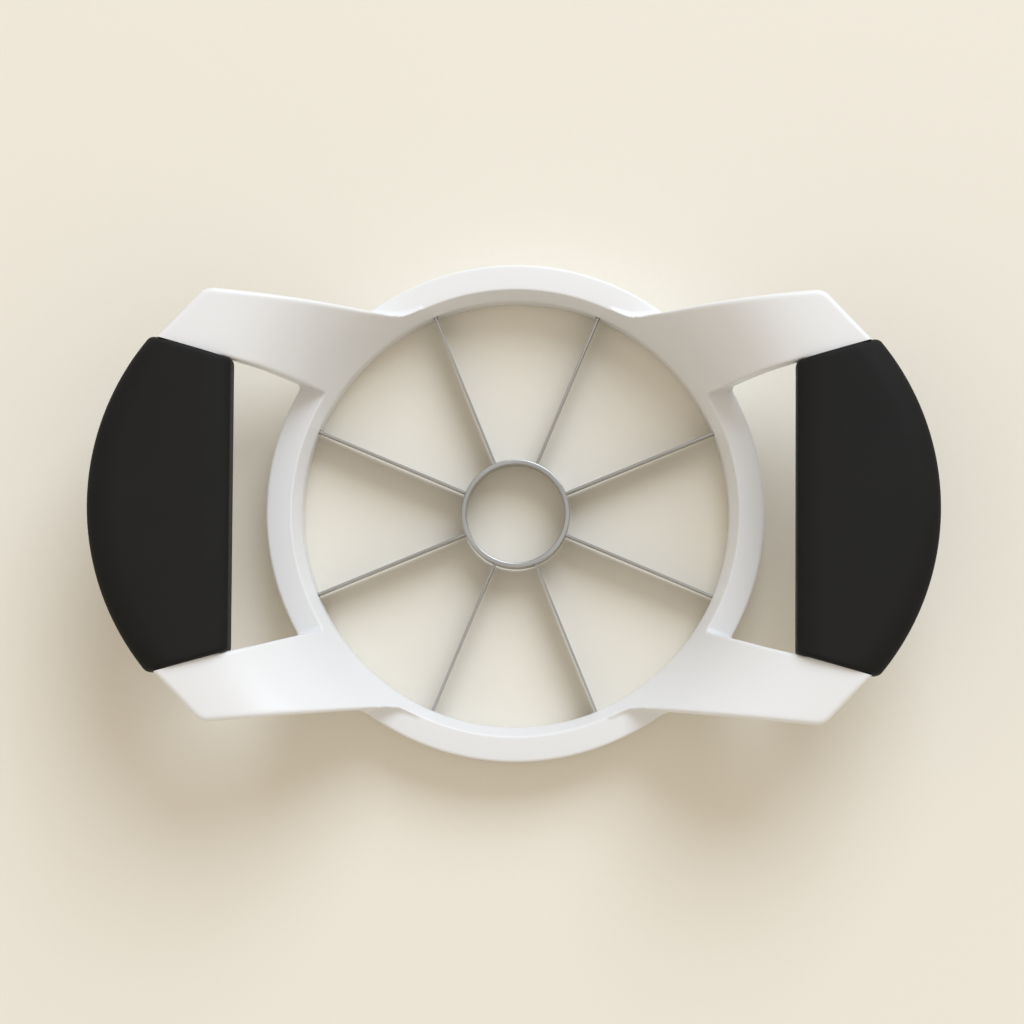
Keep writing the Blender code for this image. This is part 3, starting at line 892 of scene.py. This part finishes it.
coreSteel = {
    "metallic": 1.0,
    "specular": 0.5,
    "bumpStrength": 0.06,
    "bumpDistance": 0.0001,
    "finish": {
        "Light Colour": (0.64, 0.622, 0.590, 1.0),
        "Dark Colour": (0.42, 0.405, 0.382, 1.0),
        "Stretch": (90.0, 90.0, 6000.0),
        "Roughness": 0.30,
        "Roughness Spread": 0.16,
    },
}


def dress(piece, material, slot, *nodes):
    piece.data.materials.clear()
    piece.data.materials.append(material)
    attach(piece, "root")
    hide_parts(*nodes)


whiteMaterial = finishMaterial("whiteMoulding", mouldedFinish, whitePlastic)
blackMaterial = finishMaterial("softBlackSleeve", mouldedFinish, softBlack)
bladeMaterial = finishMaterial("brushedBlade", brushedLines, bladeSteel)
coreMaterial = finishMaterial("turnedCore", brushedLines, coreSteel)

dress(makeMoulding(), whiteMaterial, "white_plastic", "frame")
print("moulding made")
dress(makeRetainer(), whiteMaterial, "white_plastic", "retaining_ring")
print("retaining ring made")
dress(makeGrip("grip_right_soft", 1), blackMaterial, "black_rubber", "right_grip")
dress(makeGrip("grip_left_soft", -1), blackMaterial, "black_rubber", "left_grip")
print("sleeves made")
for number, angle in enumerate(bladeAngles, 1):
    strip = makeBlade("blade_steel_" + str(number), angle)
    dress(strip, bladeMaterial, "steel", "blade_" + str(number))
dress(makeCore(), coreMaterial, "steel", "core_ring")
print("blades and core made")


# Floor, light and camera

stage = {
    "floorSize": 6.0,
    "floorDrop": 0.00005,     # keeps the floor off the ring's underside
    "floorColour": (0.842, 0.806, 0.708, 1.0),
    "floorDark": (0.826, 0.790, 0.691, 1.0),
    "floorRoughness": 0.9,
    "floorSpecular": 0.1,
    "fibreScale": 900.0,
    "skyColour": (1.0, 0.900, 0.778, 1.0),
    "skyStrength": 0.71,
    "seenColour": (0.86, 0.83, 0.74, 1.0),
    "seenStrength": 1.0,
    "mirroredColour": (0.86, 0.86, 0.84, 1.0),
    "mirroredHorizon": 0.10,      # strength of what shiny pieces mirror at the horizon
    "mirroredZenith": 0.78,
    "keyColour": (0.745, 0.843, 1.0),
    "keyAzimuth": math.radians(21.0),      # from +Y towards +X
    "keyElevation": math.radians(40.0),
    "keyDistance": 3.6,
    "keySize": 2.63,
    "keyPower": 97.8,
}


def makeFloor():
    bpy.ops.mesh.primitive_plane_add(size=stage["floorSize"], location=(0.0, 0.0, -stage["floorDrop"]))
    floor = bpy.context.object
    floor.name = "floor"
    material = bpy.data.materials.new("palePaper")
    material.use_nodes = True
    nodes, links = material.node_tree.nodes, material.node_tree.links
    shader = nodes["Principled BSDF"]
    shader.inputs["Roughness"].default_value = stage["floorRoughness"]
    shader.inputs["Specular IOR Level"].default_value = stage["floorSpecular"]
    place = nodes.new('ShaderNodeTexCoord')
    fibre = addNoise(nodes, noiseDetail["fibre"])
    fibre.inputs["Scale"].default_value = stage["fibreScale"]
    links.new(place.outputs["Object"], fibre.inputs["Vector"])
    colour = nodes.new('ShaderNodeMix')
    colour.data_type = 'RGBA'
    colour.inputs["A"].default_value = stage["floorDark"]
    colour.inputs["B"].default_value = stage["floorColour"]
    links.new(fibre.outputs["Fac"], colour.inputs["Factor"])
    links.new(colour.outputs["Result"], shader.inputs["Base Color"])
    floor.data.materials.append(material)


def makeSky():
    # one even light for matt surfaces, a view for the camera, and for mirrored light a
    # room that is brighter overhead
    world = bpy.data.worlds.new("softRoom")
    bpy.context.scene.world = world
    world.use_nodes = True
    nodes, links = world.node_tree.nodes, world.node_tree.links
    lighting = nodes["Background"]
    lighting.inputs["Color"].default_value = stage["skyColour"]
    lighting.inputs["Strength"].default_value = stage["skyStrength"]
    seen = nodes.new('ShaderNodeBackground')
    seen.inputs["Color"].default_value = stage["seenColour"]
    seen.inputs["Strength"].default_value = stage["seenStrength"]
    mirrored = nodes.new('ShaderNodeBackground')
    mirrored.inputs["Color"].default_value = stage["mirroredColour"]
    direction = nodes.new('ShaderNodeTexCoord')
    parts = nodes.new('ShaderNodeSeparateXYZ')
    links.new(direction.outputs["Generated"], parts.inputs[0])
    overhead = nodes.new('ShaderNodeMapRange')
    overhead.inputs["To Min"].default_value = stage["mirroredHorizon"]
    overhead.inputs["To Max"].default_value = stage["mirroredZenith"]
    links.new(parts.outputs["Z"], overhead.inputs["Value"])
    links.new(overhead.outputs["Result"], mirrored.inputs["Strength"])
    path = nodes.new('ShaderNodeLightPath')
    glossy = nodes.new('ShaderNodeMixShader')
    links.new(path.outputs["Is Glossy Ray"], glossy.inputs[0])
    links.new(lighting.outputs[0], glossy.inputs[1])
    links.new(mirrored.outputs[0], glossy.inputs[2])
    camera = nodes.new('ShaderNodeMixShader')
    links.new(path.outputs["Is Camera Ray"], camera.inputs[0])
    links.new(glossy.outputs[0], camera.inputs[1])
    links.new(seen.outputs[0], camera.inputs[2])
    links.new(camera.outputs[0], nodes["World Output"].inputs["Surface"])


def makeKeyLight():
    data = bpy.data.lights.new("keyLight", 'AREA')
    data.shape = 'DISK'
    data.size = stage["keySize"]
    data.energy = stage["keyPower"]
    data.color = stage["keyColour"]
    lamp = bpy.data.objects.new("keyLight", data)
    bpy.context.scene.collection.objects.link(lamp)
    flat = math.cos(stage["keyElevation"])
    towards = Vector((
        math.sin(stage["keyAzimuth"]) * flat,
        math.cos(stage["keyAzimuth"]) * flat,
        math.sin(stage["keyElevation"]),
    ))
    lamp.location = towards * stage["keyDistance"]
    lamp.rotation_mode = 'QUATERNION'
    lamp.rotation_quaternion = (-towards).to_track_quat('-Z', 'Y')


shot = {
    "sideways": math.radians(1.35),
    "towardsFront": math.radians(3.8),
    "distance": 0.880,
    "focalLength": 135.35,
    "sensorWidth": 36.0,
    "clipStart": 0.01,
    "roll": math.radians(0.36),
    "aimOffset": Vector((-0.00070, 0.00003, 0.0)),
}


def makeCamera():
    data = bpy.data.cameras.new("shotCamera")
    data.lens = shot["focalLength"]
    data.sensor_width = shot["sensorWidth"]
    data.clip_start = shot["clipStart"]
    camera = bpy.data.objects.new("shotCamera", data)
    bpy.context.scene.collection.objects.link(camera)
    back = Vector((math.tan(shot["sideways"]), -math.tan(shot["towardsFront"]), 1.0)).normalized()
    aim = Vector((0.0, 0.0, flareHeight(creaseRadius))) + shot["aimOffset"]
    right = Vector((0.0, 1.0, 0.0)).cross(back).normalized()
    turn = Matrix((right, back.cross(right), back)).transposed().to_4x4()
    camera.matrix_world = (
        Matrix.Translation(aim + back * shot["distance"]) @ turn @ Matrix.Rotation(shot["roll"], 4, 'Z')
    )
    bpy.context.scene.camera = camera


makeFloor()
makeSky()
makeKeyLight()
makeCamera()
bpy.context.scene.view_settings.view_transform = 'Standard'
print("floor, light and camera made")
